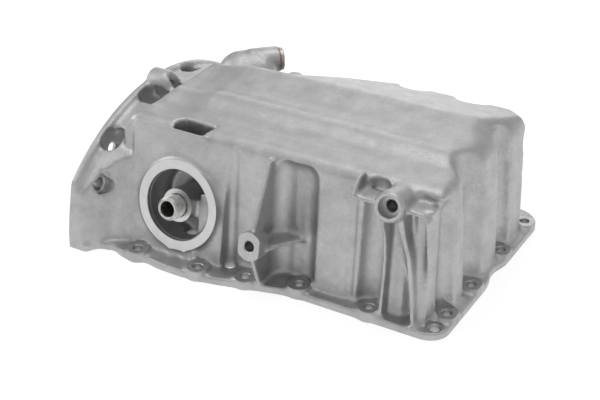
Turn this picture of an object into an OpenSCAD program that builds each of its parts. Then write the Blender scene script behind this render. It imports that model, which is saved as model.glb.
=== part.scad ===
// Cast aluminium engine oil pan, standing on its crankcase joint face.
// X runs along the crankshaft, from the gearbox end to the timing end.
// Y runs across the engine, from the filter side to the drain side.
// The origin is on the joint face, under the crankshaft axis, at half length.

/* [Rail] */
// length of the pan along the crankshaft
pan_len = 330; // [300:1:380]
// width of the bolted rail over the sump
rail_w = 217; // [200:1:240]
// thickness of the rail between its pads
rail_t = 6; // [4:0.5:10]
// height of a bolt pad above the joint face
pad_h = 9; // [7:0.5:14]
// radius of a bolt pad
pad_r = 10; // [8:0.5:13]
// bore for a pan bolt
rail_bolt_d = 8; // [6.5:0.1:9]

/* [Sump] */
// thickness of the cast wall
wall = 4.5; // [3.5:0.1:7]
// height of the first roof terrace, over the filter side
roof_z = 114; // [95:1:135]
// rise from one roof terrace to the next
terrace = 5.5; // [0:0.5:8]
// fall of the roof from its crest to the drain side
back_fall = 16.5; // [5:0.5:30]
// base of the filter side wall, in from the rail edge
front_in = 11.5; // [9:0.5:16]
// base of the drain side wall, in from the far rail edge
back_in = 9; // [9:0.5:16]

/* [Filter mount] */
// lean of the filter seat from upright
tilt = 12.35; // [0:0.05:25]
// outer diameter of the machined filter seat
seat_d = 75; // [60:0.5:95]
// inner diameter of the machined filter seat
seat_in_d = 60.4; // [50:0.1:80]
// height of the seat centre above the joint face
seat_z = 50; // [42:0.5:70]
// depth of the oil chamber behind the seat
chamber_depth = 34; // [20:1:38]
// diameter of the boss that carries the nipple
collar_d = 28.4; // [24:0.2:34]
// outer diameter of the filter nipple
nipple_d = 19.8; // [16:0.1:24]
// diameter of the nipple's end in the casting
nipple_shank_d = 18; // [14:0.1:22]
// bore of the filter nipple
nipple_bore = 13.4; // [9:0.1:16]
// length of nipple that stands out of its boss
nipple_out = 14.5; // [10:0.5:20]
// bore of the drilled oil ways
oil_way_d = 12; // [9:0.5:14]

/* [Gearbox end] */
// outer radius of the gearbox flange about the crankshaft
bell_r = 184; // [170:1:200]
// inner radius of the gearbox flange
bell_in_r = 140; // [125:1:150]
// depth of the crankshaft axis below the joint face
crank_drop = 74.6; // [50:0.1:90]
// thickness of the gearbox flange
bell_t = 6; // [5:0.5:12]
// bore for a gearbox bolt
bell_bolt_d = 10.5; // [8.5:0.1:13]

/* [Drain] */
// diameter of the drain boss
drain_boss_d = 24; // [20:0.5:30]
// outer diameter of the drain plug thread
plug_d = 14; // [12:1:22]
// diameter of the drain plug flange
plug_flange_d = 21; // [18:0.5:28]
// thickness of the sealing washer
washer_t = 1.6; // [1:0.1:3]

/* [Hidden] */
$fn = 48;
cast_colour = [0.68, 0.70, 0.71];
steel_colour = [0.62, 0.62, 0.60];
copper_colour = [0.72, 0.45, 0.30];
mid_y = rail_w / 2;
arc_z = -crank_drop;
deck_r = bell_r - 4;
seat = [-239.7, 4, seat_z];
nipple_in = 18;
lower_boss = [-156.6, -18.4, 47.8];
upper_boss = [-46.6, -2, 106.2];
drain_face = [-256, 189, 108];
sump_x0 = -304;
crest_y = 130;
shoulder_y = 189;
// each row of rail holes: place, then pad height
front_pads = [
    [-270.4, -12.6, pad_h],
    [-211, -11.2, pad_h],
    [-171, -2.1, pad_h - 1.5],
    [-126.7, 8.2, pad_h],
    [-64, 8.2, pad_h]
];
corner_hole = [-9.9, 11.4];
end_pads = [
    [-8.7, 30.5, pad_h],
    [-8.7, 77.1, pad_h],
    [-8.7, 137.8, pad_h],
    [-8.7, 191.8, pad_h]
];
all_pads = concat(front_pads, end_pads, [for (q = front_pads) [q[0], rail_w - q[1], q[2]]]);

// points of an arc, with the angles in degrees
function arc(c, r, a0, a1, n) =
    [for (i = [0:n]) let (a = a0 + (a1 - a0) * i / n) [c[0] + r * cos(a), c[1] + r * sin(a)]];
function ease(v, a, b) = let (t = min(1, max(0, (v - a) / (b - a)))) t * t * (3 - 2 * t);
function notch(v, c, w) = max(0, 1 - abs(v - c) / w);
// roof height across the pan: three terraces with a parting groove at each foot, then a fall
function roof(y) = roof_z + 1.5 * ease(y, 28, 52)
    + terrace * ease(y, 54, 74)
    + terrace * ease(y, 96, 128)
    - back_fall * min(1, max(0, (y - crest_y) / (shoulder_y - crest_y)))
    - 0.9 * notch(y, 48, 3)
    - 0.9 * notch(y, 82, 3);

// moves the corner based drawing to the origin
module placed() {
    translate([pan_len / 2, -mid_y, 0])
        children();
}

// draws a shape given as [y, z] and runs it along X from a to b
module along_x(a, b) {
    translate([a, 0, 0])
        rotate([90, 0, 90])
            linear_extrude(height = b - a)
                children();
}

// draws a shape given as [x, z] and runs it along Y from a to b
module along_y(a, b) {
    translate([0, b, 0])
        rotate([90, 0, 0])
            linear_extrude(height = b - a)
                children();
}

// stands a shape on the leaning filter side: x right, y up the face, z outward
module on_face(c) {
    translate(c)
        rotate([90 - tilt, 0, 0])
            children();
}

// outline across the pan, cut off at one terrace height, with g of metal taken off
module across(top, g) {
    front_r = 11;
    back_r = 12;
    polygon(concat(
        [[front_in + g, -1]],
        arc([31, roof_z - front_r], front_r - g, 180, 100, 6),
        [for (y = [31:3:shoulder_y - 2]) [y, min(roof(y), top) - g]],
        arc([shoulder_y, roof(shoulder_y) - back_r], back_r - g, 80, 0, 6),
        [[rail_w - back_in - g, -1]]
    ));
}

// outline along the pan, rounded at the timing end, with a ramp down to the gearbox end
module lengthwise(top, end_x, r, ramp, g) {
    polygon(concat(
        [[sump_x0 + 3 * g, -1]],
        [for (t = [0:0.125:1]) [sump_x0 + 3 * g + ramp * t, 95 - g + 37 * sin(90 * t)]],
        arc([end_x - 5 - r, top - r], r - g, 90, 2, 7),
        [[end_x - g, -1]]
    ));
}

// plan outline of the sump with rounded corners
module plan(g) {
    r = 15;
    back_r = 41;
    x0 = sump_x0 + 3 * g;
    x1 = -7 - g;
    y0 = front_in + g;
    y1 = rail_w - back_in - g;
    polygon(concat(
        arc([x1 - r, y0 + r], r, -90, 0, 6),
        arc([x1 - back_r, y1 - back_r], back_r, 0, 90, 8),
        arc([x0 + r, y1 - r], r, 90, 180, 4),
        arc([x0 + r, y0 + r], r, 180, 270, 4)
    ));
}

// one terrace of the sump
module level(top, end_x, r, ramp, g) {
    intersection() {
        along_x(-310, 0)
            across(top, g);
        along_y(0, rail_w)
            lengthwise(top, end_x, r, ramp, g);
    }
}

// wrench flute over one bolt: a leaning round groove with a round top
module flute(x, y, r, top, lean_x, lean_y) {
    translate([x, y, 0])
        rotate([-lean_x, -lean_y, 0])
            translate([0, 0, -2]) {
                cylinder(r = r, h = top - r + 2);
                translate([0, 0, top - r + 2])
                    sphere(r = r);
            }
}

// every flute of the sump, grown by g for the inside
module flutes(g) {
    // bay over the middle front bolt
    for (x = [-143, -134, -127])
        flute(x, 8, 11.5 + g, 111 + g, 4.5, 0);
    // bolt beside the upper bracket boss
    flute(-67, 8.5, 12 + g, 118 + g, 4.5, -1);
    // narrow grooves of the plain wall
    flute(-85, 9.8, 4.5 + g, 108 + g, 4.5, 0);
    flute(-192.5, 8, 5 + g, 112 + g, 5, 0);
    // low corner bolt, and the pocket beside it
    flute(-11, 8, 14 + g, 112 + g, 4, 3);
    flute(-29, 7, 11 + g, 113 + g, 5, 0);
    // timing end bolts
    flute(-5, 30.5, 11.5 + g, 106 + g, 0, 4);
    flute(1, 77, 20 + g, 150 + g, 0, 5);
    flute(-5, 138, 13 + g, 122 + g, 0, 5);
    flute(-1, 192, 14 + g, 104 + g, 0, 3);
    // drain side bolts
    flute(-66, 211, 17 + g, 150, -5, 0);
    flute(-120, 211, 16 + g, 150, -5, 0);
}

// drain side wall set in above a shelf towards the gearbox end, under a long chamfer
module slanting_back(g) {
    translate([0, 185, 105])
        rotate([8, 0, 0])
            translate([0, -185 - g, -45 - g])
                linear_extrude(height = 120)
                    polygon([[-112, 207], [-150, 187], [-186, 163], [-310, 158], [-310, 300], [-112, 300]]);
    intersection_for(turn = [3, 37])
        translate([-204, crest_y + 1, roof_z + 1.5 + 2 * terrace])
            rotate([0, 0, turn])
                rotate([-41, 0, 0])
                    translate([-200, -60, -g])
                        cube([400, 200, 120]);
}

// corner of the roof rounded off over the drain side and the timing end
module dropped_corner(g) {
    translate([-22, 189, 106])
        rotate([0, 0, 51])
            rotate([0, 62, 0])
                translate([-60, -60, -g])
                    cube([120, 120, 60]);
}

// closed outer form of the sump, or its inside when g is the wall
module sump(g) {
    difference() {
        intersection() {
            union() {
                level(roof_z + 1.5, -7, 12, 56, g);
                level(roof_z + 1.5 + terrace, -9, 15, 46, g);
                level(roof_z + 1.5 + 2 * terrace, -17, 18, 34, g);
            }
            translate([0, 0, -1])
                linear_extrude(height = 150)
                    plan(g);
        }
        flutes(g);
        slanting_back(g);
        dropped_corner(g);
    }
}

// rail outline of the filter side, from the gearbox end to the timing end
rail_front = [
    [-330, -29.5], [-314, -29.5], [-311.5, -28], [-310.5, -20.5],
    [-303, -18.2], [-293, -15.4], [-285, -19], [-278, -21], [-268, -20.8],
    [-260, -17.8], [-252, -18.8], [-246, -20.2], [-222, -20.6], [-204, -18.7],
    [-187, -15], [-171, -10.7], [-155, -6.2], [-139, -2], [-128, -0.6], [-118, 0]
];

// mirrors a point to the drain side
function far_side(p) = [p[0], rail_w - p[1]];
function reversed(list) = [for (i = [len(list) - 1:-1:0]) list[i]];

module rail() {
    corner_r = 17;
    linear_extrude(height = rail_t)
        polygon(concat(
            rail_front,
            arc([-corner_r, corner_r], corner_r, -90, 0, 8),
            [[0, 88], [-1.2, 97], [-4, 106], [-4, 114], [-2, 122], [0, 130]],
            arc([-24, rail_w - 25], 24, 0, 90, 8),
            reversed([for (p = rail_front) far_side(p)])
        ));
}

// raised pads, flush with the rail at the timing end
module pads() {
    intersection() {
        for (p = all_pads)
            translate([p[0], p[1], 0])
                cylinder(r = pad_r, h = p[2]);
        translate([-pan_len, -100, 0])
            cube([pan_len, 500, 30]);
    }
}

module rail_bores() {
    for (p = concat(all_pads, [corner_hole]))
        translate([p[0], p[1], -1])
            cylinder(d = rail_bolt_d, h = pad_h + 6);
}

// room for a bolt head above each pad
module pad_clearance() {
    for (p = all_pads)
        translate([p[0], p[1], p[2]])
            cylinder(r = pad_r - 0.5, h = 26);
}

// side outline of the gearbox end, within the given radius of the crankshaft
module bell_form(r, a, b) {
    intersection() {
        translate([a, mid_y, arc_z])
            rotate([0, 90, 0])
                cylinder(r = r, h = b - a);
        along_x(a - 1, b + 1)
            polygon([
                [-29.5, 0], [-29.3, 11.5], [-26.3, 29.5], [-20.2, 55], [-14, 70], [-14, 140],
                [rail_w + 14, 140], [rail_w + 14, 70], [rail_w + 20.2, 55],
                [rail_w + 26.3, 29.5], [rail_w + 29.3, 11.5], [rail_w + 29.5, 0]
            ]);
    }
}

// mirrors children to the drain side as well
module both_sides() {
    for (m = [0, 1])
        translate([0, m * rail_w, 0])
            mirror([0, m, 0])
                children();
}

// everything outside a leaning wall whose foot passes through x and y, set in by g
module outside_wall(x, y, turn, lean, g) {
    translate([x, y, 0])
        rotate([0, 0, turn])
            rotate([-lean, 0, 0])
                translate([-100, -90 + g, -30])
                    cube([200, 90, 200]);
}

// cheeks that slant from the gearbox flange to the sump wall, leaning inwards
module outside_cheeks(g) {
    both_sides()
        intersection() {
            outside_wall(-301, -12.5, 31, 12.5, g);
            outside_wall(-301, -12.5, 52, 9, g);
        }
}

// upright channel for the lowest gearbox bolts, of half width r
module low_bolt_channel(r, h) {
    both_sides()
        low_bolt_place() {
            cylinder(r = r, h = h);
            translate([-5, 0, 0])
                cylinder(r = r, h = h);
            translate([-5, -r, 0])
                cube([5, 2 * r, h]);
        }
}

// axis of the lowest gearbox bolt of the filter side
module low_bolt_place() {
    translate([-pan_len, mid_y - low_bolt[0], low_bolt[1]])
        rotate([0, 90, 0])
            children();
}

// rounded block centred on x and y
module slot(lx, ly, r, h) {
    for (s = [-1, 1])
        for (t = [-1, 1])
            translate([s * (lx / 2 - r), t * (ly / 2 - r), 0])
                cylinder(r = r, h = h);
    translate([-lx / 2, -ly / 2 + r, 0])
        cube([lx, ly - 2 * r, h]);
    translate([-lx / 2 + r, -ly / 2, 0])
        cube([lx - 2 * r, ly, h]);
}

// stands children on the deck at station x and angle a from the top
module on_deck(x, a) {
    translate([x, mid_y, arc_z])
        rotate([-a, 0, 0])
            children();
}

// windows that reach the gearbox bolts from outside
module deck_windows() {
    for (a = [-28.4, 28.4])
        on_deck(-317, a)
            translate([0, 0, bell_in_r + 6])
                slot(17, 24, 8, 60);
    on_deck(-313, -9.6)
        translate([0, 0, bell_in_r + 6])
            slot(25, 25, 9, 60);
    on_deck(-308.3, -2.2)
        translate([0, 0, bell_in_r + 6])
            slot(12, 13.5, 3, 60);
    on_deck(-320.5, 10.6)
        translate([0, 0, bell_in_r + 6])
            slot(11.5, 20, 5, 60);
}

// angles of the gearbox bolts about the crankshaft
bell_bolts = [-28.4, 10.6, 28.4];
bell_bolt_circle = 162;
// lowest gearbox bolts: distance out from the middle, then height
low_bolt = [115, 55];
low_seat = 20;
// depth of the boss round the top bolt
top_boss_h = 15.5;

// open space round the flywheel: through the gearbox face, then wider behind it
module flywheel_room() {
    room_wall = 7;
    side_wall = 12;
    translate([-pan_len - 1, mid_y, arc_z])
        rotate([0, 90, 0])
            cylinder(r = bell_in_r, h = bell_t + 2);
    difference() {
        intersection() {
            translate([-pan_len + bell_t, mid_y, arc_z])
                rotate([0, 90, 0])
                    cylinder(r = deck_r - room_wall, h = 22);
            translate([-pan_len, -29.5 + side_wall, -1])
                cube([60, rail_w + 59 - 2 * side_wall, 150]);
        }
        // metal kept round the top bolt and the lowest bolts
        top_bolt_place()
            cylinder(r = 10, h = top_boss_h + 3);
        low_bolt_channel(12, 40);
        outside_cheeks(room_wall);
    }
}

// axis of the top gearbox bolt, running in from the gearbox face
module top_bolt_place() {
    translate([-pan_len, 100.5, 103])
        rotate([0, 90, 0])
            children();
}

module bell_end() {
    difference() {
        union() {
            bell_form(bell_r, -pan_len, -pan_len + bell_t);
            difference() {
                bell_form(deck_r, -pan_len, -274);
                outside_cheeks(0);
                translate([low_seat, 0, 0])
                    low_bolt_channel(8, 40);
            }
            // boss that carries the top bolt
            top_bolt_place()
                cylinder(r = 13, h = top_boss_h);
        }
        deck_windows();
        for (a = bell_bolts)
            on_deck(-pan_len - 1, a)
                translate([0, 0, bell_bolt_circle])
                    rotate([0, 90, 0])
                        cylinder(d = bell_bolt_d, h = bell_t + 2);
        top_bolt_place()
            translate([0, 0, -1])
                cylinder(d = bell_bolt_d, h = top_boss_h + 6);
        both_sides()
            low_bolt_place()
                translate([0, 0, -1])
                    cylinder(d = bell_bolt_d, h = low_seat + 2);
    }
}

// block that stands out of the wall behind the filter
module filter_block() {
    intersection() {
        on_face(seat) {
            translate([-50, -60, -46])
                cube([71.5, 122.5, 43.5]);
            translate([20, -60, -46])
                cube([22, 118, 40.5]);
            translate([0, 0, -40])
                cylinder(d = seat_d + 3, h = 38.5);
            translate([0, 0, -40])
                cylinder(d = seat_d, h = 40);
        }
        translate([-320, -40, 0])
            cube([200, 120, 130]);
    }
    // short ribs between the seat and the rail
    for (x = [-245, -230.5, -221.5])
        translate([x, -4.6, 2])
            cube([1.6, 6, 12]);
}

// oil chamber behind the seat, round the nipple boss
module filter_chamber() {
    on_face(seat) {
        difference() {
            translate([0, 0, -chamber_depth])
                cylinder(d = seat_in_d, h = chamber_depth + 1);
            translate([0, 0, -chamber_depth - 1])
                cylinder(d = collar_d, h = chamber_depth + 1);
            // rib from the boss to the land
            translate([0, -9.5, -chamber_depth - 1])
                cube([40, 15, chamber_depth - 7]);
            // shallow land at the timing side of the chamber
            translate([17, -40, -chamber_depth - 1])
                cube([40, 53, chamber_depth - 5.5]);
        }
        translate([0, 0, -nipple_in])
            cylinder(d = nipple_shank_d, h = 30);
        translate([0, 0, -50])
            cylinder(d = nipple_bore, h = 50);
    }
}

// drilled oil ways from the joint face: one to the chamber, one to the nipple
module oil_ways() {
    translate([seat[0], 24, -1])
        cylinder(d = oil_way_d, h = 26);
    translate([seat[0], 50, -1])
        cylinder(d = oil_way_d, h = 40);
}

// land that carries both oil ways to the joint face
module oil_land() {
    land_w = oil_way_d + 14;
    translate([seat[0] - land_w / 2, front_in, 0])
        cube([land_w, 50 - front_in, 36]);
    translate([seat[0], 50, 0])
        cylinder(d = land_w, h = 52);
}

// open pocket between the filter block and the roof
module block_pocket() {
    translate([0, 0, 86])
        linear_extrude(height = 40)
            polygon([[-253, 22], [-226, 21], [-222, 26], [-217, 34], [-229, 34], [-249, 35], [-254, 29]]);
}

// metal kept inside the sump behind the filter side
module inner_housings() {
    on_face(seat)
        translate([0, 0, -chamber_depth - wall])
            cylinder(d = seat_in_d + 2 * wall, h = 60);
    translate([-260, 0, 86 - wall])
        cube([48, 41, 60]);
    oil_land();
    on_face(upper_boss)
        translate([0, 0, -30])
            cylinder(r = 10, h = 40);
    // drain boss root
    drain_place()
        translate([0, 0, -34])
            cylinder(r = 11, h = 40);
}

// rounded six sided plate of the lower bracket boss
module boss_plate(h) {
    intersection() {
        translate([-9.5, -12, -h])
            cube([19, 24, h]);
        rotate([0, 0, 30])
            translate([0, 0, -h])
                cylinder(r = 13.2, h = h, $fn = 6);
        translate([0, 0, -h])
            cylinder(r = 12, h = h);
    }
}

module lower_bracket() {
    on_face(lower_boss)
        boss_plate(16);
    // upright web in one plane: a long fin above, a foot below
    along_x(lower_boss[0] - 1.6, lower_boss[0] + 1.6)
        polygon([[-13.5, 56], [14.2, 107], [22, 107], [18, 40], [14, 5], [-6.4, 5], [-17, 38]]);
    // gusset to the right
    translate([0, 0, 41])
        linear_extrude(height = 3.2)
            polygon([[-160, -14], [-148, -14], [-140, 2], [-127, 22], [-160, 22]]);
}

module upper_bracket() {
    on_face(upper_boss)
        translate([0, 0, -26])
            cylinder(r = 12.3, h = 26);
    // left leg, drawn in to the wall at half height
    along_x(-54.3, -50.8)
        polygon([
            [1, 4], [3.5, 21], [6.5, 41], [7.5, 57], [5.5, 77], [0, 90], [-1.5, 97],
            [8, 104], [22, 100], [18, 4]
        ]);
    // right leg, bowed towards the boss
    along_y(1.8, 22)
        polygon([
            [-26.4, 4], [-29, 35], [-32.5, 65], [-38, 82], [-43, 96], [-36, 98],
            [-34, 84], [-29, 65], [-25.5, 35], [-22.9, 4]
        ]);
    // shelf to the left
    translate([-78, 4, 101.2])
        cube([26, 20, 3.4]);
    // upright end of the shelf
    along_x(-80, -77)
        polygon([[8, 99], [3.8, 101.5], [3.8, 104.6], [14, 117], [24, 117], [22, 99]]);
    // shelf to the right, turning down to the corner
    translate([-42, 4, 101])
        cube([24, 20, 3.4]);
    along_x(-19.5, -16)
        polygon([[17, 4], [10, 60], [4, 96], [4, 101], [4, 104.4], [24, 104.4], [24, 4]]);
}

// holes of the two bracket bosses
module bracket_bores() {
    on_face(lower_boss)
        translate([0, 0, -15])
            cylinder(d = 8.5, h = 20);
    on_face(upper_boss) {
        translate([0, 0, -24])
            cylinder(d = 8.5, h = 30);
        translate([0, 0, -6])
            cylinder(d = 16.4, h = 12);
    }
}

// places the drain axis: z runs out of the boss
module drain_place() {
    translate(drain_face)
        rotate([0, 0, 45])
            rotate([0, 90, 0])
                children();
}

module drain_boss() {
    drain_place() {
        translate([0, 0, -26])
            cylinder(d = drain_boss_d, h = 26);
        // swelling that carries it out of the wall
        translate([12, 0, -34]) {
            sphere(r = 22);
            cylinder(r = 22, h = 21);
            translate([0, 0, 21])
                cylinder(r1 = 22, r2 = 15, h = 8);
        }
    }
    // small lug on the drain side shoulder
    translate([-224, 166, 50])
        cylinder(r = 7.5, h = 58.5);
}

module pan_casting() {
    color(cast_colour)
        placed()
            difference() {
                union() {
                    difference() {
                        union() {
                            sump(0);
                            rail();
                            pads();
                            bell_end();
                            filter_block();
                            drain_boss();
                        }
                        // groove beside the filter block
                        flute(-192.5, 8, 5, 112, 5, 0);
                        pad_clearance();
                        // open inside
                        difference() {
                            sump(wall);
                            inner_housings();
                        }
                        block_pocket();
                        translate([-400, -100, -60])
                            cube([500, 400, 60]);
                    }
                    lower_bracket();
                    upper_bracket();
                }
                filter_chamber();
                oil_ways();
                flywheel_room();
                bracket_bores();
                rail_bores();
                drain_place()
                    translate([0, 0, -30])
                        cylinder(d = plug_d, h = 40);
            }
}

module filter_nipple() {
    color(steel_colour)
        placed()
            on_face(seat)
                difference() {
                    union() {
                        cylinder(d = nipple_d, h = nipple_out);
                        translate([0, 0, -nipple_in])
                            cylinder(d = nipple_shank_d, h = nipple_in + 1);
                    }
                    translate([0, 0, -nipple_in - 1])
                        cylinder(d = nipple_bore, h = nipple_in + nipple_out + 2);
                }
}

module drain_plug() {
    color(steel_colour)
        placed()
            drain_place()
                translate([0, 0, washer_t])
                    difference() {
                        union() {
                            translate([0, 0, -18])
                                cylinder(d = plug_d, h = 19);
                            cylinder(d = plug_flange_d, h = 3.5);
                        }
                        translate([0, 0, -4])
                            cylinder(d = 8 / cos(30), h = 10, $fn = 6);
                    }
}

module drain_washer() {
    color(copper_colour)
        placed()
            drain_place()
                difference() {
                    cylinder(d = plug_flange_d + 1, h = washer_t);
                    translate([0, 0, -1])
                        cylinder(d = plug_d, h = washer_t + 2);
                }
}

pan_casting();
filter_nipple();
drain_plug();
drain_washer();
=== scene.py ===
import math
import time
import bpy
import bmesh
import numpy as np
from mathutils import Matrix


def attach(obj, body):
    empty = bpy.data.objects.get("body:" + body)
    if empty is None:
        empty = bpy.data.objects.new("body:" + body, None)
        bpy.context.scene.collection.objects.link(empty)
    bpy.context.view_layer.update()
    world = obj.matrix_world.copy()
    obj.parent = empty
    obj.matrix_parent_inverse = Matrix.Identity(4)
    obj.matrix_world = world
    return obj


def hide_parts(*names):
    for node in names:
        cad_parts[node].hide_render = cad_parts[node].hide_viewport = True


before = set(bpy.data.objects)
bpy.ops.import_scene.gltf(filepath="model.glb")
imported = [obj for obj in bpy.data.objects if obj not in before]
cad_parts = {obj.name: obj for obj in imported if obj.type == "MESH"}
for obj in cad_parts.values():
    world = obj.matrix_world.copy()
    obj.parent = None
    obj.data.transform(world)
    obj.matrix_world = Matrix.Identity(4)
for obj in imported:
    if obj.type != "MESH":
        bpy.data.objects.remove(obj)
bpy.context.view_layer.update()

startTime = time.time()
mm = 0.001


def report(stage):
    print("oil pan:", stage, "at", round(time.time() - startTime, 1), "s")


# ---- places of the machined features, in metres, in the part's own frame
tilt = math.radians(12.35)  # lean of the filter side
seatOut = np.array([0.0, -math.cos(tilt), math.sin(tilt)])  # out of the filter seat
upZ = np.array([0.0, 0.0, 1.0])
downX = np.array([-1.0, 0.0, 0.0])
seatCentre = np.array([-0.0747, -0.1045, 0.0500])
lowerBoss = np.array([0.0084, -0.1269, 0.0478])
upperBoss = np.array([0.1184, -0.1105, 0.1062])
drainCentre = np.array([-0.0910, 0.0805, 0.1080])
drainOut = np.array([math.sqrt(0.5), math.sqrt(0.5), 0.0])
sidePads = [  # x, y and height of the raised bolt pads of the filter side, repeated on the drain side
    (-0.1054, -0.1211, 0.0090), (-0.0460, -0.1197, 0.0090), (-0.0060, -0.1106, 0.0075),
    (0.0383, -0.1003, 0.0090), (0.1010, -0.1003, 0.0090),
]
endPads = [(0.1563, y, 0.0090) for y in (-0.0780, -0.0314, 0.0293, 0.0833)]
padPlaces = sidePads + [(x, -y, top) for x, y, top in sidePads] + endPads
cornerHole = (0.1551, -0.0971, 0.0060)
padReach = 0.0102
gearboxFace = -0.165
gearboxHoles = [  # y, z and depth of the bores from the gearbox face
    (-0.1150, 0.0550, 0.022), (0.1150, 0.0550, 0.022), (-0.07705, 0.0679, 0.008),
    (0.07705, 0.0679, 0.008), (0.0298, 0.08464, 0.008), (-0.0080, 0.1030, 0.022),
]
turnedFaces = [  # centre, axis and reach of each face that is cut square to its axis
    (seatCentre, seatOut, 0.0377), (lowerBoss, seatOut, 0.0134),
    (upperBoss, seatOut, 0.0125), (drainCentre, drainOut, 0.0121),
]


# ---- small tools
def newObject(name, verts, faces, material=None):
    mesh = bpy.data.meshes.new(name)
    mesh.from_pydata([tuple(v) for v in verts], [], [tuple(f) for f in faces])
    mesh.validate()
    if material:
        mesh.materials.append(material)
    obj = bpy.data.objects.new(name, mesh)
    bpy.context.scene.collection.objects.link(obj)
    return obj


def frameAround(axis):
    # two directions square to the axis, so that side, front and axis are right handed
    axis = np.asarray(axis, float) / np.linalg.norm(axis)
    side = np.cross([0.0, 0.0, 1.0], axis) if abs(axis[2]) < 0.9 else np.array([1.0, 0.0, 0.0])
    side /= np.linalg.norm(side)
    return side, np.cross(axis, side), axis


def turned(profile, centre, axis, steps=48):
    # a closed profile of radius and height in mm goes once round the axis:
    # point = centre + radius * (cos(turn) * side + sin(turn) * front) + height * axis
    side, front, axis = frameAround(axis)
    ring = np.asarray(profile, float) * mm
    turn = np.linspace(0.0, 2.0 * math.pi, steps, endpoint=False)
    spoke = np.cos(turn)[:, None, None] * side + np.sin(turn)[:, None, None] * front
    out = ring[None, :, 0, None] * spoke
    verts = (np.asarray(centre) + out + ring[None, :, 1, None] * axis).reshape(-1, 3)
    return verts, closedGrid(steps, len(ring))


def closedGrid(steps, count):
    # quads of a grid that closes on itself both ways
    i, j = np.meshgrid(np.arange(steps), np.arange(count), indexing="ij")
    i2, j2 = (i + 1) % steps, (j + 1) % count
    quads = [i * count + j, i2 * count + j, i2 * count + j2, i * count + j2]
    return np.stack(quads, -1).reshape(-1, 4)


def boxTool(lo, hi):
    lo, hi = np.array(lo), np.array(hi)
    pick = np.array([[x, y, z] for x in (0, 1) for y in (0, 1) for z in (0, 1)])
    faces = np.array([[0, 1, 3, 2], [4, 6, 7, 5], [0, 4, 5, 1], [2, 3, 7, 6], [0, 2, 6, 4], [1, 5, 7, 3]])
    return lo + pick * (hi - lo), faces


def joined(pieces, name, material=None):
    verts, faces, start = [], [], 0
    for v, f in pieces:
        verts.extend(v.tolist())
        faces.extend([int(i) + start for i in face] for face in f)
        start += len(v)
    return newObject(name, verts, faces, material)


def outward(mesh):
    # doubled points on an axis are merged and every face is turned outward
    work = bmesh.new()
    work.from_mesh(mesh)
    bmesh.ops.remove_doubles(work, verts=work.verts, dist=1e-7)
    bmesh.ops.recalc_face_normals(work, faces=work.faces)
    work.to_mesh(mesh)
    work.free()


def applyModifiers(obj):
    # the evaluated mesh takes the place of the object's own
    graph = bpy.context.evaluated_depsgraph_get()
    done = bpy.data.meshes.new_from_object(obj.evaluated_get(graph), depsgraph=graph)
    obj.modifiers.clear()
    old, obj.data = obj.data, done
    bpy.data.meshes.remove(old)


def meshArrays(mesh):
    verts = np.empty(len(mesh.vertices) * 3)
    mesh.vertices.foreach_get("co", verts)
    edges = np.empty(len(mesh.edges) * 2, np.int64)
    mesh.edges.foreach_get("vertices", edges)
    return verts.reshape(-1, 3), edges.reshape(-1, 2)


def vertexNormals(mesh):
    normals = np.empty(len(mesh.vertices) * 3)
    mesh.vertices.foreach_get("normal", normals)
    return normals.reshape(-1, 3)


def neighbourMean(values, edges, degree):
    a, b = edges[:, 0], edges[:, 1]
    count = len(degree)
    columns = [
        np.bincount(a, column[b], count) + np.bincount(b, column[a], count) for column in values.T
    ]
    return np.stack(columns, 1) / degree[:, None]


# ---- materials
def linear(code):
    # sRGB hex code to the linear colour that the shader takes
    channels = [int(code[i:i + 2], 16) / 255.0 for i in (1, 3, 5)]
    return tuple(c / 12.92 if c <= 0.04045 else ((c + 0.055) / 1.055) ** 2.4 for c in channels) + (1.0,)


def addNode(tree, kind, values=None, links=None, **settings):
    # one node, with its settings, the constants of its sockets and the links into them
    node = tree.nodes.new("ShaderNode" + kind)
    for key, value in settings.items():
        setattr(node, key, value)
    for key, value in (values or {}).items():
        node.inputs[key].default_value = value
    for key, value in (links or {}).items():
        tree.links.new(value, node.inputs[key])
    return node


def newMaterial(name):
    material = bpy.data.materials.new(name)
    material.use_nodes = True
    tree = material.node_tree
    tree.nodes.clear()
    shader = addNode(tree, "BsdfPrincipled")
    addNode(tree, "OutputMaterial", links={"Surface": shader.outputs["BSDF"]})
    place = addNode(tree, "TexCoord").outputs["Object"]
    return material, tree, shader, place


def noise(tree, place, size, detail=2.0, rough=0.5):
    # a pattern whose spots are about size metres wide
    values = {"Scale": 1.0 / size, "Detail": detail, "Roughness": rough}
    return addNode(tree, "TexNoise", values, {"Vector": place}).outputs["Fac"]


def lineNoise(tree, distance, pitch, detail):
    # the same along one distance only
    values = {"Scale": 1.0 / pitch, "Detail": detail}
    return addNode(tree, "TexNoise", values, {"W": distance}, noise_dimensions="1D").outputs["Fac"]


def remap(tree, value, low, high, a=0.3, b=0.7):
    # the values a to b become low to high
    limits = {"From Min": a, "From Max": b, "To Min": low, "To Max": high}
    return addNode(tree, "MapRange", limits, {"Value": value}).outputs["Result"]


def vectorMath(tree, operation, value, constant=None):
    values = {} if constant is None else {1: tuple(constant)}
    return addNode(tree, "VectorMath", values, {0: value}, operation=operation)


def blend(tree, share, first, second, mode="MIX"):
    # colour mix, each side a hex code or a link
    node = addNode(tree, "Mix", data_type="RGBA", blend_type=mode, clamp_factor=True)
    for socket, side in ((6, first), (7, second)):
        if isinstance(side, str):
            node.inputs[socket].default_value = linear(side)
        else:
            tree.links.new(side, node.inputs[socket])
    if isinstance(share, float):
        node.inputs[0].default_value = share
    else:
        tree.links.new(share, node.inputs[0])
    return node.outputs[2]


def bump(tree, height, strength, distance, below=None):
    node = addNode(tree, "Bump", {"Strength": strength, "Distance": distance}, {"Height": height})
    if below:
        tree.links.new(below, node.inputs["Normal"])
    return node.outputs["Normal"]


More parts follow.
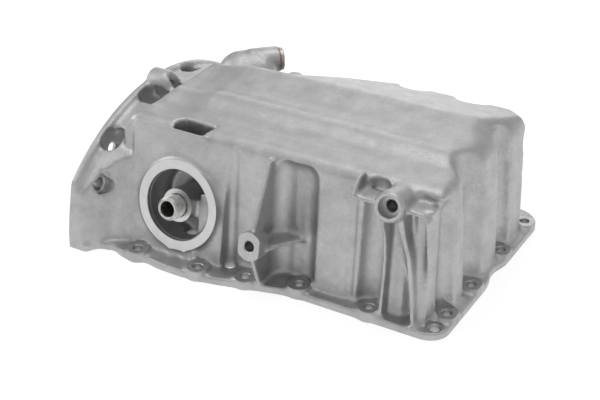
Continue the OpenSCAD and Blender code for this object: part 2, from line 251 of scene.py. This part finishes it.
def finish(tree, shader, colour, roughness, normal, metallic=1.0):
    tree.links.new(colour, shader.inputs["Base Color"])
    tree.links.new(roughness, shader.inputs["Roughness"])
    tree.links.new(normal, shader.inputs["Normal"])
    shader.inputs["Metallic"].default_value = metallic


# the darkest colour is for the pits and for the painted shade in the creases
castLook = {"dark": "#a9a9a9", "light": "#c3c3c3", "pitsAndCreaseShade": "#8e8e8e", "rough": (0.42, 0.54)}


def blastedAluminium(look):
    # aluminium casting, sand cast and shot blasted: fine pits, faint clouds, and creases darkened with
    # painted shade and some dust
    material, tree, shader, place = newMaterial("blastedCastAluminium")
    pits = noise(tree, place, 0.9 * mm, 3.0, 0.6)
    skin = noise(tree, place, 2.6 * mm, 2.0)
    clouds = noise(tree, place, 14 * mm, 3.0, 0.55)
    flow = noise(tree, place, 60 * mm, 2.0)
    cavity = addNode(tree, "Attribute", attribute_name="cavity").outputs["Fac"]
    colour = blend(tree, remap(tree, clouds, 0.0, 1.0, 0.25, 0.75), look["dark"], look["light"])
    colour = blend(tree, remap(tree, pits, 0.0, 0.35, 0.62, 0.35), colour, look["pitsAndCreaseShade"])
    colour = blend(tree, remap(tree, flow, 0.0, 0.3), colour, look["light"])
    # painted shade and dust: the cavity attribute darkens the creases and corners towards the darkest
    # colour
    colour = blend(tree, remap(tree, cavity, 0.0, 0.6, 0.02, 0.5), colour, look["pitsAndCreaseShade"])
    roughness = remap(tree, skin, look["rough"][0], look["rough"][1])
    normal = bump(tree, clouds, 0.25, 0.6 * mm)
    normal = bump(tree, skin, 0.5, 0.25 * mm, normal)
    normal = bump(tree, pits, 0.55, 0.12 * mm, normal)
    finish(tree, shader, colour, roughness, normal)
    return material


def ringMarks(tree, place, centre, axis, pitch):
    # tool marks in rings round an axis: noise along the distance from the axis
    rel = vectorMath(tree, "SUBTRACT", place, centre).outputs["Vector"]
    across = vectorMath(tree, "CROSS_PRODUCT", rel, axis).outputs["Vector"]
    radius = vectorMath(tree, "LENGTH", across).outputs["Value"]
    return lineNoise(tree, radius, pitch, 2.0)


seatLook = {"dark": "#c4c4c4", "light": "#dcdcdc", "rough": (0.36, 0.46)}


def facedSeat(look):
    # aluminium faced with a single point tool: fine rings round the seat, matt and bright
    material, tree, shader, place = newMaterial("facedAluminiumSeat")
    rings = ringMarks(tree, place, seatCentre, seatOut, 0.28 * mm)
    haze = noise(tree, place, 7 * mm, 2.0)
    colour = blend(tree, remap(tree, rings, 0.0, 1.0), look["dark"], look["light"])
    roughness = remap(tree, haze, look["rough"][0], look["rough"][1])
    finish(tree, shader, colour, roughness, bump(tree, rings, 0.35, 0.05 * mm))
    return material


millLook = {"dark": "#a8a8a8", "light": "#c2c2c2", "rough": (0.32, 0.46)}


def milledAluminium(look):
    # aluminium spot faced, drilled and milled: short tool marks, brighter than the cast skin
    material, tree, shader, place = newMaterial("milledAluminium")
    feed = {"Scale": (1.0, 6.0, 3.0), "Rotation": (0.3, 0.2, 0.6)}
    stretch = addNode(tree, "Mapping", feed, {"Vector": place}).outputs["Vector"]
    marks = noise(tree, stretch, 1.6 * mm, 2.0)
    haze = noise(tree, place, 5 * mm, 2.0)
    colour = blend(tree, remap(tree, marks, 0.0, 1.0), look["dark"], look["light"])
    roughness = remap(tree, haze, look["rough"][0], look["rough"][1])
    finish(tree, shader, colour, roughness, bump(tree, marks, 0.25, 0.05 * mm))
    return material


nippleLook = {"dark": "#a2a2a0", "light": "#cacac8", "rough": (0.34, 0.46)}


def turnedSteel(look):
    # bare steel, turned and thread rolled, with painted shade darkening the roots of the thread
    material, tree, shader, place = newMaterial("turnedSteel")
    along = vectorMath(tree, "DOT_PRODUCT", place, seatOut).outputs["Value"]
    marks = lineNoise(tree, along, 0.25 * mm, 1.0)
    haze = noise(tree, place, 4 * mm, 2.0)
    root = addNode(tree, "Attribute", attribute_name="cavity").outputs["Fac"]
    colour = blend(tree, remap(tree, haze, 0.0, 1.0), look["dark"], look["light"])
    # painted shade: the cavity attribute darkens the thread's roots towards a dark grey
    colour = blend(tree, remap(tree, root, 0.0, 0.75, 0.1, 0.9), colour, "#4a4845")
    roughness = remap(tree, haze, look["rough"][0], look["rough"][1])
    finish(tree, shader, colour, roughness, bump(tree, marks, 0.2, 0.04 * mm))
    return material


plugLook = {"dark": "#a8a8a2", "light": "#c6c5be", "rough": (0.28, 0.42)}


def zincPlatedSteel(look):
    # forged steel under a thin bright zinc plating, slightly clouded
    material, tree, shader, place = newMaterial("zincPlatedSteel")
    clouds = noise(tree, place, 3.5 * mm, 3.0)
    marks = ringMarks(tree, place, drainCentre, drainOut, 0.3 * mm)
    colour = blend(tree, remap(tree, clouds, 0.0, 1.0), look["dark"], look["light"])
    roughness = remap(tree, clouds, look["rough"][0], look["rough"][1])
    finish(tree, shader, colour, roughness, bump(tree, marks, 0.25, 0.05 * mm))
    return material


copperLook = {"dark": "#7d6a60", "light": "#9a857a", "rough": (0.3, 0.5)}


def annealedCopper(look):
    # soft copper ring, stamped and annealed: dull and greyed, as the photo shows no copper red
    material, tree, shader, place = newMaterial("annealedCopper")
    clouds = noise(tree, place, 2.5 * mm, 3.0)
    colour = blend(tree, remap(tree, clouds, 0.0, 1.0), look["dark"], look["light"])
    roughness = remap(tree, clouds, look["rough"][0], look["rough"][1])
    finish(tree, shader, colour, roughness, bump(tree, clouds, 0.2, 0.05 * mm))
    return material


def lightTable():
    # the studio's light table: matt white acrylic lit from below, so no shadow shows
    material, tree, shader, place = newMaterial("backlitWhiteAcrylic")
    clouds = noise(tree, place, 0.4, 2.0)
    colour = blend(tree, remap(tree, clouds, 0.0, 1.0), "#a0a0a0", "#a4a4a4")
    roughness = remap(tree, clouds, 0.85, 0.95)
    shader.inputs["Emission Color"].default_value = (1.0, 1.0, 1.0, 1.0)
    shader.inputs["Emission Strength"].default_value = 0.75
    finish(tree, shader, colour, roughness, bump(tree, clouds, 0.02, 0.1 * mm), 0.0)
    return material


castMetal = blastedAluminium(castLook)
seatMetal = facedSeat(seatLook)
millMetal = milledAluminium(millLook)
report("materials")


# ---- the casting
panSettings = {
    "voxel": 0.00115,  # grid of the cast surface
    "allowance": 0.003,  # metal left on for machining, as a foundry does
    "sag": 0.0045,  # drop of the ramp at the gearbox end
    "softRounds": 5,  # rounds that round off every corner
    "endRounds": 55,  # rounds that round off the ends of the terraces
    "fillRounds": 20,  # rounds that fill the inside corners
    "faces": 160000,  # triangles kept before machining
    "chip": 50,  # points below which a loose bit is a chip
}

patternForms = {  # what the pattern adds to the solids and takes off them, in metres
    "noseCentre": (-0.1500, -0.0080, 0.1026),  # rounded end of the top bolt's boss
    "noseRadius": 12.4, "noseLength": 10.5, "noseRoot": -4.0,  # mm
    "panelFoot": (0.003, -0.0985), "panelTop": (0.1015, -0.0925),  # z and y of the panel's front
    "panelDepth": 0.016,
    # left edge low and high, right edge and how far proud: the panel, then its rib
    "panels": ((0.1370, 0.1195, 0.1472, 0.0), (0.1372, 0.1347, 0.1361, 0.0016)),
    "ribWidth": 0.0014,
    "arcCentre": (0.1385, 0.0930), "arcRadius": 0.0112,  # x and z of the shelf's round corner
    "arcSides": (0.1530, 0.1080), "arcReach": (-0.1150, -0.0968),
    # x, angle from upright in degrees and radius in mm of the deck's windows
    "windows": ((-0.1480, 9.6, 11.8), (-0.1425, 2.2, 5.6)),
    "deckAxis": -0.0746, "deckReach": 0.180,
}


def allowanceMoves(verts, spare):
    # where each point goes so that every machined face starts out spare metres proud
    move = np.zeros_like(verts)
    move[np.abs(verts[:, 2]) < 1e-5] -= spare * upZ
    move[np.abs(verts[:, 0] - gearboxFace) < 1e-5] += spare * downX
    for x, y, top in padPlaces:
        near = np.hypot(verts[:, 0] - x, verts[:, 1] - y) < padReach
        move[near & (np.abs(verts[:, 2] - top) < 2e-5)] += 0.3 * spare * upZ
    for centre, axis, reach in turnedFaces:
        rel = verts - centre
        height = rel @ axis
        radius = np.linalg.norm(rel - height[:, None] * axis, axis=1)
        move[(np.abs(height) < 2e-5) & (radius < reach)] += spare * axis
    return move


def cutWith(obj, pieces, name, material):
    # the boolean gives each cut face the cutter's own material
    tool = joined(pieces, name, material)
    outward(tool.data)
    cut = obj.modifiers.new("cut", "BOOLEAN")
    cut.object = tool
    cut.operation = "DIFFERENCE"
    cut.solver = "MANIFOLD"
    cut.material_mode = "TRANSFER"
    applyModifiers(obj)
    bpy.data.objects.remove(tool)


def prismY(outline, lo, hi):
    # an outline of x and z, in metres, run along y from lo to hi
    count = len(outline)
    verts = np.array([(x, y, z) for y in (lo, hi) for x, z in outline])
    i = np.arange(count)
    sides = np.stack([i, (i + 1) % count, (i + 1) % count + count, i + count], 1)
    return verts, sides.tolist() + [list(range(count))[::-1], list(range(count, 2 * count))]


def addedMetal(form):
    # forms of the photo that the solids leave out: the rounded end of the top bolt's boss,
    # and the panel that closes the pocket beside the upper bracket, with its rib
    turn = np.linspace(0.0, 0.5 * math.pi, 9)
    wide, long, root = form["noseRadius"], form["noseLength"], form["noseRoot"]
    dome = [(wide * math.cos(t), long * math.sin(t)) for t in turn[:-1]]
    nose = [(0.0, root), (wide, root)] + dome + [(0.0, long)]
    pieces = [turned(nose, form["noseCentre"], -downX, 32)]
    (footZ, foot), (topZ, top), deep = form["panelFoot"], form["panelTop"], form["panelDepth"]
    faces = np.array([
        [0, 3, 2, 1], [4, 5, 6, 7], [0, 1, 5, 4], [1, 2, 6, 5], [2, 3, 7, 6], [3, 0, 4, 7],
    ])
    for low, high, right, out in form["panels"]:
        corners = [
            (x, y, z)
            for left, edge, z, base in (
                (low, max(right, low + form["ribWidth"]), footZ, foot), (high, right, topZ, top),
            )
            for x, y in (
                (left, base - out), (edge, base - out), (edge, base + deep), (left, base + deep),
            )
        ]
        pieces.append((np.array(corners), faces))
    return pieces


def patternCuts(form):
    # the shelf's corner turned down in an arc, the upper boss drawn in towards its face,
    # and the deck's windows opened again beside the boss
    (x0, z0), (right, top), radius = form["arcCentre"], form["arcSides"], form["arcRadius"]
    turn = np.linspace(0.0, 0.5 * math.pi, 9)
    bend = [(x0 + radius * math.sin(t), z0 + radius * math.cos(t)) for t in turn]
    cuts = [
        prismY([(x0, top)] + bend + [(right, z0), (right, top)], *form["arcReach"]),
        turned([(10.3, -0.1), (13.0, -2.8), (15.0, -2.0), (15.0, 4.5), (10.3, 4.5)], upperBoss, seatOut),
    ]
    for x, angle, wide in form["windows"]:
        lean = math.radians(angle)
        out = np.array([0.0, -math.sin(lean), math.cos(lean)])
        place = np.array([x, 0.0, form["deckAxis"]]) + form["deckReach"] * out
        cuts.append(turned([(0, -32), (wide, -32), (wide, 14), (0, 14)], place, out))
    return cuts


def evenSkin(obj, voxel):
    # one closed skin of small quads round everything that overlaps
    skin = obj.modifiers.new("skin", "REMESH")
    skin.mode = "VOXEL"
    skin.voxel_size = voxel
    applyModifiers(obj)


def rise(values, start, width):
    # 0 up to start, then straight up to 1 over the width
    return np.clip((values - start) / width, 0.0, 1.0)


def rampSag(mesh, depth):
    # the roof's ramp hangs a little between the deck and the first terrace:
    # drop = depth * sine along the ramp * share of the height * share across the pan
    verts, edges = meshArrays(mesh)
    x, y, z = verts.T
    along = np.sin(math.pi * rise(x, -0.141, 0.060))
    above = rise(z, 0.088, 0.014)
    across = rise(y, -0.085, 0.030) * rise(-y, -0.060, 0.030)
    verts[:, 2] -= depth * along * above * across
    mesh.vertices.foreach_set("co", verts.ravel())
    mesh.update()


def castSurface(source, settings):
    # the casting of the frame before machining, as an even skin of small quads
    mesh = source.data.copy()
    obj = bpy.data.objects.new("castPan", mesh)
    bpy.context.scene.collection.objects.link(obj)
    work = bmesh.new()
    work.from_mesh(mesh)
    bmesh.ops.remove_doubles(work, verts=work.verts, dist=2e-6)
    work.to_mesh(mesh)
    verts, edges = meshArrays(mesh)
    mesh.vertices.foreach_set("co", (verts + allowanceMoves(verts, settings["allowance"])).ravel())
    added = joined(addedMetal(patternForms), "addedMetal")
    outward(added.data)
    work.clear()
    work.from_mesh(mesh)
    work.from_mesh(added.data)
    work.to_mesh(mesh)
    work.free()
    bpy.data.objects.remove(added)
    evenSkin(obj, settings["voxel"])
    for tool in patternCuts(patternForms):
        cutWith(obj, [tool], "patternCut", castMetal)
    evenSkin(obj, settings["voxel"])
    rampSag(obj.data, settings["sag"])
    return obj


def relax(mesh, rounds, fill, soft):
    # every point moves towards the middle of its neighbours: by the share fill where that
    # adds metal, in an inside corner, and by the share soft where it takes metal off
    verts, edges = meshArrays(mesh)
    degree = np.bincount(edges.ravel(), minlength=len(verts))
    for step in range(rounds):
        pull = neighbourMean(verts, edges, degree) - verts
        normal = vertexNormals(mesh)
        along = (pull * normal).sum(1)
        slide = pull - along[:, None] * normal
        share = np.where(along > 0, fill, soft)
        verts = verts + 0.4 * slide + (share * along)[:, None] * normal
        mesh.vertices.foreach_set("co", verts.ravel())
        mesh.update()


def softenWhere(mesh, rounds, weight):
    # points of a region slide to the middle of their neighbours: terrace ends run out round
    verts, edges = meshArrays(mesh)
    share = weight(verts)
    index = np.flatnonzero(share > 0)
    place = np.full(len(verts), -1)
    place[index] = np.arange(len(index))
    local = place[edges[(share[edges] > 0).all(1)]]
    part = verts[index]
    degree = np.bincount(local.ravel(), minlength=len(index))
    share = np.where(degree > 1, share[index], 0.0)[:, None]
    degree = np.maximum(degree, 1)
    for step in range(rounds):
        part = part + 0.5 * share * (neighbourMean(part, local, degree) - part)
    verts[index] = part
    mesh.vertices.foreach_set("co", verts.ravel())
    mesh.update()


def terraceEnds(verts):
    # the region of the roof's timing end, faded out towards the walls and the drain side
    x, y, z = verts.T
    along = rise(x, 0.118, 0.016) * rise(z, 0.080, 0.014)
    return along * rise(y, -0.0890, 0.006) * rise(-y, -0.090, 0.02)


def facingTools():
    # spot facers and face cutters, each with the hole that it leaves: radius and height in mm
    pads = []
    for x, y, top in padPlaces:
        face = top / mm
        profile = [
            (0, -6), (4, -6), (4, face - 0.5), (4.6, face), (9.3, face), (9.3, face + 9), (0, face + 9),
        ]
        pads.append(turned(profile, (x, y, 0), upZ))
    x, y, top = cornerHole
    corner = [(0, -6), (4, -6), (4, 5.4), (4.5, 5.9), (7.5, 5.9), (7.5, 11), (0, 11)]
    lower = [(0, -17.5), (4.25, -15), (4.25, -0.9), (5.1, 0), (15, 0), (15, 6), (0, 6)]
    upper = [
        (0, -26.5), (4.25, -24), (4.25, -6.5), (4.8, -6), (8.2, -6), (8.2, -0.5), (8.7, 0),
        (14.5, 0), (14.5, 6), (0, 6),
    ]
    drain = [(0, -30), (7, -30), (7, -1), (8, 0), (12.6, 0), (12.6, 5), (0, 5)]
    return pads + [
        turned(corner, (x, y, 0), upZ), turned(lower, lowerBoss, seatOut),
        turned(upper, upperBoss, seatOut), turned(drain, drainCentre, drainOut),
    ]


def seatTools():
    # the filter seat and the boss of the nipple are faced in one pass
    return [turned([(0, 0), (39.5, 0), (39.5, 7), (0, 7)], seatCentre, seatOut, 128)]


def boringTools():
    # bores that start in a machined face
    ways = [
        turned([(0, -60), (6, -60), (6, depth), (0, depth + 3)], (seatCentre[0], y, 0), upZ)
        for y, depth in ((-0.0845, 25), (-0.0585, 39))
    ]
    ring = [(15.4, -4.5), (30.2, -4.5), (30.2, -0.4), (30.6, 0.2), (30.6, 1), (15.4, 1)]
    bore = [(0, -52), (6.7, -50), (6.7, -18), (9, -18), (9, -1.1), (10.4, 0), (10.4, 1), (0, 1)]
    seat = [turned(ring, seatCentre, seatOut, 128), turned(bore, seatCentre, seatOut, 64)]
    gearbox = []
    for y, z, depth in gearboxHoles:
        end = -depth / mm
        profile = [(0, end), (5.25, end), (5.25, -0.5), (5.75, 0), (5.75, 8), (0, 8)]
        gearbox.append(turned(profile, (gearboxFace, y, z), downX))
    head = [(0, 0), (8.2, 0), (8.2, 12), (0, 12)]
    heads = [turned(head, (gearboxFace + 0.020, y, 0.055), -downX) for y in (-0.115, 0.115)]
    return ways + seat, gearbox, heads


def cavityAttribute(mesh, rounds):
    # how far a point lies below its neighbours, as a share of their distance, softened
    verts, edges = meshArrays(mesh)
    degree = np.maximum(np.bincount(edges.ravel(), minlength=len(verts)), 1)
    pull = neighbourMean(verts, edges, degree) - verts
    length = np.linalg.norm(verts[edges[:, 0]] - verts[edges[:, 1]], axis=1)
    count = len(verts)
    reach = (np.bincount(edges[:, 0], length, count) + np.bincount(edges[:, 1], length, count)) / degree
    below = (pull * vertexNormals(mesh)).sum(1)
    value = np.clip(below / np.maximum(reach, 1e-6), 0.0, 1.0)[:, None]
    for step in range(rounds):
        value = 0.4 * value + 0.6 * neighbourMean(value, edges, degree)
    data = mesh.attributes.new("cavity", "FLOAT", "POINT")
    data.data.foreach_set("value", value[:, 0].astype(np.float32))


def sharpBorders(mesh, angle):
    # smooth shading, broken where the material changes
    # or where a machined corner is steeper than the angle
    count = len(mesh.polygons)
    kind = np.empty(count, np.int32)
    mesh.polygons.foreach_get("material_index", kind)
    normal = np.empty(count * 3)
    mesh.polygons.foreach_get("normal", normal)
    normal = normal.reshape(-1, 3)
    start = np.empty(count, np.int64)
    mesh.polygons.foreach_get("loop_start", start)
    loopEdge = np.empty(len(mesh.loops), np.int64)
    mesh.loops.foreach_get("edge_index", loopEdge)
    loopFace = np.repeat(np.arange(count), np.diff(np.append(start, len(mesh.loops))))
    order = np.argsort(loopEdge, kind="stable")
    edge, face = loopEdge[order], loopFace[order]
    pair = np.flatnonzero(edge[1:] == edge[:-1])
    first, second, which = face[pair], face[pair + 1], edge[pair]
    steep = (normal[first] * normal[second]).sum(1) < math.cos(math.radians(angle))
    sharp = np.zeros(len(mesh.edges), bool)
    sharp[which] = (kind[first] != kind[second]) | (steep & (kind[first] > 0))
    mesh.polygons.foreach_set("use_smooth", np.ones(count, bool))
    data = mesh.attributes.get("sharp_edge") or mesh.attributes.new("sharp_edge", "BOOLEAN", "EDGE")
    data.data.foreach_set("value", sharp)


def deburr(mesh, chip):
    # the cuts leave slivers without area, which are dissolved, faces that lie back to back
    # on the same points, and loose chips of fewer points than chip: both are removed
    work = bmesh.new()
    work.from_mesh(mesh)
    for turn in range(2):
        bmesh.ops.triangulate(work, faces=work.faces, quad_method="BEAUTY", ngon_method="BEAUTY")
        bmesh.ops.dissolve_degenerate(work, dist=1e-6, edges=work.edges)
    bmesh.ops.triangulate(work, faces=work.faces)
    sides = {}
    for face in work.faces:
        sides.setdefault(frozenset(face.verts), []).append(face)
    burrs = [face for pair in sides.values() if len(pair) > 1 for face in pair]
    bmesh.ops.delete(work, geom=burrs, context="FACES")
    seen, loose = set(), []
    for first in work.verts:
        if first in seen:
            continue
        seen.add(first)
        piece = [first]
        for point in piece:
            for edge in point.link_edges:
                other = edge.other_vert(point)
                if other not in seen:
                    seen.add(other)
                    piece.append(other)
        if len(piece) < chip:
            loose.extend(piece)
    bmesh.ops.delete(work, geom=loose, context="VERTS")
    work.to_mesh(mesh)
    work.free()


castPan = castSurface(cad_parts["pan_casting"], panSettings)
report("cast skin of %d faces" % len(castPan.data.polygons))
relax(castPan.data, panSettings["softRounds"], 0.5, 0.5)
softenWhere(castPan.data, panSettings["endRounds"], terraceEnds)
relax(castPan.data, panSettings["fillRounds"], 0.5, 0.02)
report("fillets")
thin = castPan.modifiers.new("thin", "DECIMATE")
thin.ratio = min(1.0, panSettings["faces"] / (2.0 * len(castPan.data.polygons)))
applyModifiers(castPan)
report("thinned to %d faces" % len(castPan.data.polygons))
castPan.data.materials.clear()
castPan.data.materials.append(castMetal)
seatBores, gearboxBores, headSeats = boringTools()
cutWith(castPan, facingTools(), "spotFacers", millMetal)
cutWith(castPan, seatTools(), "seatCutter", seatMetal)
cutWith(castPan, seatBores, "seatBores", seatMetal)
cutWith(castPan, headSeats, "headSeats", millMetal)
cutWith(castPan, gearboxBores, "gearboxDrills", millMetal)
cutWith(castPan, [boxTool((-0.2, -0.2, -0.05), (0.2, 0.2, 0.0))], "jointMill", millMetal)
cutWith(castPan, [boxTool((-0.25, -0.2, -0.06), (gearboxFace, 0.2, 0.2))], "gearboxMill", millMetal)
deburr(castPan.data, panSettings["chip"])
report("machined, %d faces" % len(castPan.data.polygons))
# the cavity attribute, which the cast material uses to paint shade and dust into the creases
cavityAttribute(castPan.data, 3)
sharpBorders(castPan.data, 30.0)
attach(castPan, "root")
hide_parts("pan_casting")

# ---- the filter nipple
nippleSettings = {
    "crest": 9.9, "root": 9.0, "pitch": 1.5,  # thread, mm
    "out": 14.5, "inner": -18.0, "shank": 9.0, "bore": 6.7,
    "runout": 2.6,  # plain length at the boss
    "steps": 96, "rise": 0.125,
}


def threadedNipple(s):
    # the outside is a thread: radius = root + (crest - root) * tooth(height / pitch - turn),
    # held under a 45 degree lead at the front and a plain neck at the boss
    turn = np.linspace(0.0, 1.0, s["steps"], endpoint=False)[:, None]
    height = np.arange(0.0, s["out"] + 1e-6, s["rise"])[None, :]
    phase = (height / s["pitch"] - turn) % 1.0
    tooth = np.clip(1.6 * (1.0 - np.abs(2.0 * phase - 1.0)) - 0.3, 0.0, 1.0)
    grow = np.clip((height - s["runout"]) / 0.8, 0.0, 1.0)
    neck = s["crest"] - 0.45
    outer = (1.0 - grow) * neck + grow * (s["root"] + (s["crest"] - s["root"]) * tooth)
    outer = np.minimum(outer, 8.35 + (s["out"] - height))
    # heights and radii of the rings that close the outside into one turned piece
    bore, shank, end = s["bore"], s["shank"], s["inner"]
    tail = np.array([
        (bore + 0.5, s["out"]), (bore, s["out"] - 0.5), (bore, 4.0), (bore, -6.0), (bore, end),
        (shank - 0.5, end), (shank, end + 0.5), (shank, -1.2),
    ])
    rings = np.concatenate([outer, np.broadcast_to(tail[:, 0], (s["steps"], len(tail)))], 1) * mm
    levels = np.concatenate([height[0], tail[:, 1]]) * mm
    side, front, axis = frameAround(seatOut)
    angle = 2.0 * math.pi * turn
    out = rings[..., None] * (np.cos(angle)[..., None] * side + np.sin(angle)[..., None] * front)
    verts = (seatCentre + out + levels[None, :, None] * axis).reshape(-1, 3)
    return newObject("filterNipple", verts, closedGrid(s["steps"], len(levels)), turnedSteel(nippleLook))


nipple = threadedNipple(nippleSettings)
outward(nipple.data)
# the cavity attribute, which the steel material uses to paint shade into the thread's roots
cavityAttribute(nipple.data, 1)
nipple.data.set_sharp_from_angle(angle=math.radians(38))
nipple.data.polygons.foreach_set("use_smooth", np.ones(len(nipple.data.polygons), bool))
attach(nipple, "root")
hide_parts("filter_nipple")
report("nipple")

# ---- the drain plug
plugSettings = {
    "base": 1.6, "flange": 10.5, "thick": 3.5, "shank": 7.0, "end": -16.4,
    "socket": 4.0,  # half the width across the flats of the key socket
    "floor": -2.4, "steps": 96,
}


def socketPlug(s):
    # each ring is round or six sided: the socket's radius = flat / cos(turn within one side)
    base, end, floor, shank, flange = s["base"], s["end"], s["floor"], s["shank"], s["flange"]
    flat, top = s["socket"], base + s["thick"]
    rings = [
        (shank - 0.9, end, 0), (shank - 0.1, end + 0.9, 0), (shank - 0.1, base - 1.4, 0),
        (shank - 0.7, base - 0.9, 0), (shank - 0.7, base, 0),
        (flange - 0.3, base, 0), (flange, base + 0.3, 0), (flange, top - 1.0, 0),
        (flange - 0.35, top - 0.45, 0), (flange - 1.1, top, 0),
        (5.4, top, 0), (5.0, top - 0.35, 0), (flat, top - 0.9, 1), (flat, floor + 0.4, 1),
        (flat - 0.3, floor, 1), (0.0, floor - 0.9, 0), (0.0, end, 0),
    ]
    ring = np.array(rings)
    turn = np.linspace(0.0, 2.0 * math.pi, s["steps"], endpoint=False)
    six = 1.0 / np.cos((turn % (math.pi / 3.0)) - math.pi / 6.0)
    radius = ring[None, :, 0] * np.where(ring[None, :, 2] > 0, six[:, None], 1.0) * mm
    side, front, axis = frameAround(drainOut)
    out = radius[..., None] * (np.cos(turn)[:, None, None] * side + np.sin(turn)[:, None, None] * front)
    verts = (drainCentre + out + ring[None, :, 1, None] * mm * axis).reshape(-1, 3)
    return newObject("drainPlug", verts, closedGrid(s["steps"], len(ring)), zincPlatedSteel(plugLook))


plug = socketPlug(plugSettings)
outward(plug.data)
plug.data.set_sharp_from_angle(angle=math.radians(32))
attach(plug, "root")
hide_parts("drain_plug")
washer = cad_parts["drain_washer"]
washer.material_slots[0].material = annealedCopper(copperLook)
report("plug and washer")

# ---- camera, floor and light
cameraSettings = {
    "place": (0.4533, -0.8064, 0.5466),  # solved from the photo
    "azimuth": 30.4,
    "elevation": 29.4,
    "lens": 73.8,
}


def photoCamera(settings):
    a, e = math.radians(settings["azimuth"]), math.radians(settings["elevation"])
    right = (math.cos(a), math.sin(a), 0.0)
    up = (-math.sin(a) * math.sin(e), math.cos(a) * math.sin(e), math.cos(e))
    back = (math.sin(a) * math.cos(e), -math.cos(a) * math.cos(e), math.sin(e))
    data = bpy.data.cameras.new("photoCamera")
    data.lens = settings["lens"]
    data.sensor_width = 36.0
    data.clip_start = 0.01
    camera = bpy.data.objects.new("photoCamera", data)
    rows = [(right[k], up[k], back[k], settings["place"][k]) for k in range(3)]
    camera.matrix_world = Matrix(rows + [(0.0, 0.0, 0.0, 1.0)])
    bpy.context.scene.collection.objects.link(camera)
    bpy.context.scene.camera = camera


photoCamera(cameraSettings)
corners = [(-6, -6, 0), (6, -6, 0), (6, 6, 0), (-6, 6, 0)]
floor = newObject("floor", corners, [(0, 1, 2, 3)], lightTable())

lightSettings = {
    "sky": 0.62,
    "panels": {
        "top": ((-0.1, 0.2, 1.6), 1.4, 6.5),  # place, side in metres, watts
        "left": ((-1.5, -0.5, 0.9), 1.0, 6.0),
        "back": ((-0.6, 1.6, 0.6), 1.2, 3.5),
    },
}


def softPanel(name, place, size, power):
    data = bpy.data.lights.new(name, "AREA")
    data.shape = "DISK"
    data.size = size
    data.energy = power
    panel = bpy.data.objects.new(name, data)
    back = np.array(place) - np.array([0.0, 0.0, 0.06])
    side, front, axis = frameAround(back)
    rows = [(side[k], front[k], axis[k], place[k]) for k in range(3)]
    panel.matrix_world = Matrix(rows + [(0.0, 0.0, 0.0, 1.0)])
    bpy.context.scene.collection.objects.link(panel)


def studio(settings):
    world = bpy.data.worlds.new("studio")
    bpy.context.scene.world = world
    world.use_nodes = True
    sky = world.node_tree.nodes["Background"]
    sky.inputs["Color"].default_value = (1.0, 1.0, 1.0, 1.0)
    sky.inputs["Strength"].default_value = settings["sky"]
    for name, (place, size, power) in settings["panels"].items():
        softPanel(name, place, size, power)
    bpy.context.scene.view_settings.view_transform = "Standard"


studio(lightSettings)
report("studio")
